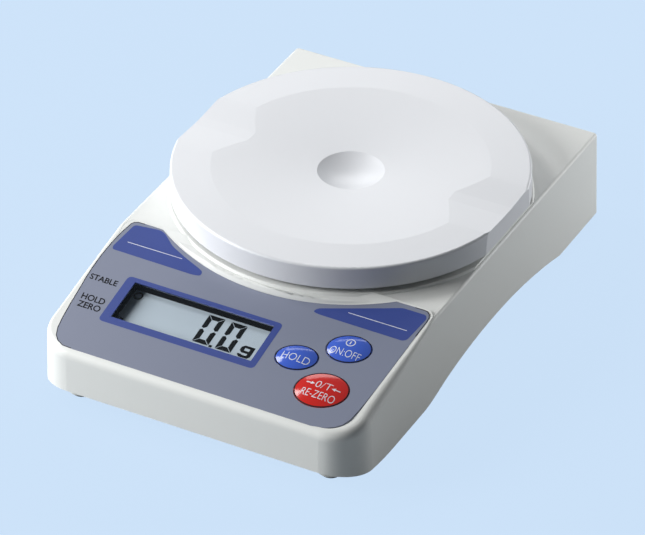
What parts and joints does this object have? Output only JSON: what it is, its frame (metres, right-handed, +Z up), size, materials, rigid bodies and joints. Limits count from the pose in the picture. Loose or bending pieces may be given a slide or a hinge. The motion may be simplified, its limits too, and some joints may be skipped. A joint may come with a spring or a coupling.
{
  "type": "electronic balance",
  "caption": "Compact table-top balance: wedge-fronted case, round shallow pan with two pouring flats, sloped panel with display and three oval push keys.",
  "frame": {"origin": "on the table, at the centre of the outline's bounding box", "axes": "+X to the right seen from the front, +Y to the rear (away from the control panel), +Z up"},
  "size_m": [0.1274, 0.1949, 0.0477],
  "materials": {
    "case_plastic": "fine matt moulded ABS, warm white",
    "base_plastic": "matt moulded ABS, warm white",
    "plated_steel": "zinc plated",
    "black_rubber": "matt",
    "panel_film": "printed polyester film, satin",
    "clear_film": "clear polyester film",
    "black_plastic": "matt moulded",
    "display_glass": "liquid-crystal cell, grey green",
    "strip_rubber": "layered conductive rubber",
    "board_laminate": "green solder mask on glass-fibre laminate",
    "sleeve_plastic": "shrink sleeve",
    "white_plastic": "moulded",
    "switch_plastic": "moulded",
    "blue_key_plastic": "glossy moulded",
    "red_key_plastic": "glossy moulded",
    "beam_aluminium": "milled",
    "gauge_film": "polyimide film under clear coating",
    "pad_rubber": "soft",
    "pan_plastic": "smooth moulded ABS, cool white",
    "cell_jacket": "plain printed jacket, bare steel ends",
    "contact_plating": "nickel plated spring steel"
  },
  "bodies": {
    "case": {"upper_case": "case_plastic", "lower_case": "base_plastic", "case_screws": "plated_steel", "rubber_feet": "black_rubber", "panel_overlay": "panel_film", "display_window": "clear_film", "lcd_holder": "black_plastic", "lcd_glass": "display_glass", "contact_strips": "strip_rubber", "main_board": "board_laminate", "board_screws": "plated_steel", "board_chips": "black_plastic", "board_capacitors": "sleeve_plastic", "clock_crystal": "plated_steel", "lead_socket": "white_plastic", "tact_switches": "switch_plastic", "load_cell": "beam_aluminium", "strain_gauges": "gauge_film", "load_cell_shim": "plated_steel", "load_cell_screws": "plated_steel", "overload_stop": "plated_steel", "battery_cells": "cell_jacket", "battery_contacts": "contact_plating", "battery_springs": "contact_plating", "dc_jack": "black_plastic"},
    "weigh_head": {"load_bracket": "plated_steel", "bracket_shim": "plated_steel", "bracket_screws": "plated_steel", "hub_screws": "plated_steel", "pan_support": "white_plastic", "pan_pads": "pad_rubber"},
    "pan": {"weighing_pan": "pan_plastic"},
    "hold_button": {"hold_key": "blue_key_plastic", "hold_switch_stem": "black_plastic"},
    "on_off_button": {"on_off_key": "blue_key_plastic", "on_off_switch_stem": "black_plastic"},
    "zero_button": {"zero_key": "red_key_plastic", "zero_switch_stem": "black_plastic"},
    "battery_lid": {"battery_door": "base_plastic"}
  },
  "joints": [
    {"name": "weigh_sink", "type": "slide", "parent": "case", "child": "weigh_head", "axis": [0, 0, -1], "range_m": [0, 0.0004], "stiffness_N_per_m": 6500, "springref_m": -0.0001, "deforming": ["load_cell"]},
    {"name": "pan_lift", "type": "slide", "parent": "weigh_head", "child": "pan", "axis": [0, 0, 1], "range_m": [0, 0.06]},
    {"name": "hold_press", "type": "slide", "parent": "case", "child": "hold_button", "axis": [0, 0.2147, -0.9767], "range_m": [0, 0.00045], "stiffness_N_per_m": 4000},
    {"name": "on_off_press", "type": "slide", "parent": "case", "child": "on_off_button", "axis": [0, 0.2147, -0.9767], "range_m": [0, 0.00045], "stiffness_N_per_m": 4000},
    {"name": "zero_press", "type": "slide", "parent": "case", "child": "zero_button", "axis": [0, 0.2147, -0.9767], "range_m": [0, 0.00045], "stiffness_N_per_m": 4000},
    {"name": "battery_door_hinge", "type": "hinge", "parent": "case", "child": "battery_lid", "pos_m": [0, 0.0917, 0.0031], "axis": [1, 0, 0], "range_deg": [0, 95]}
  ]
}
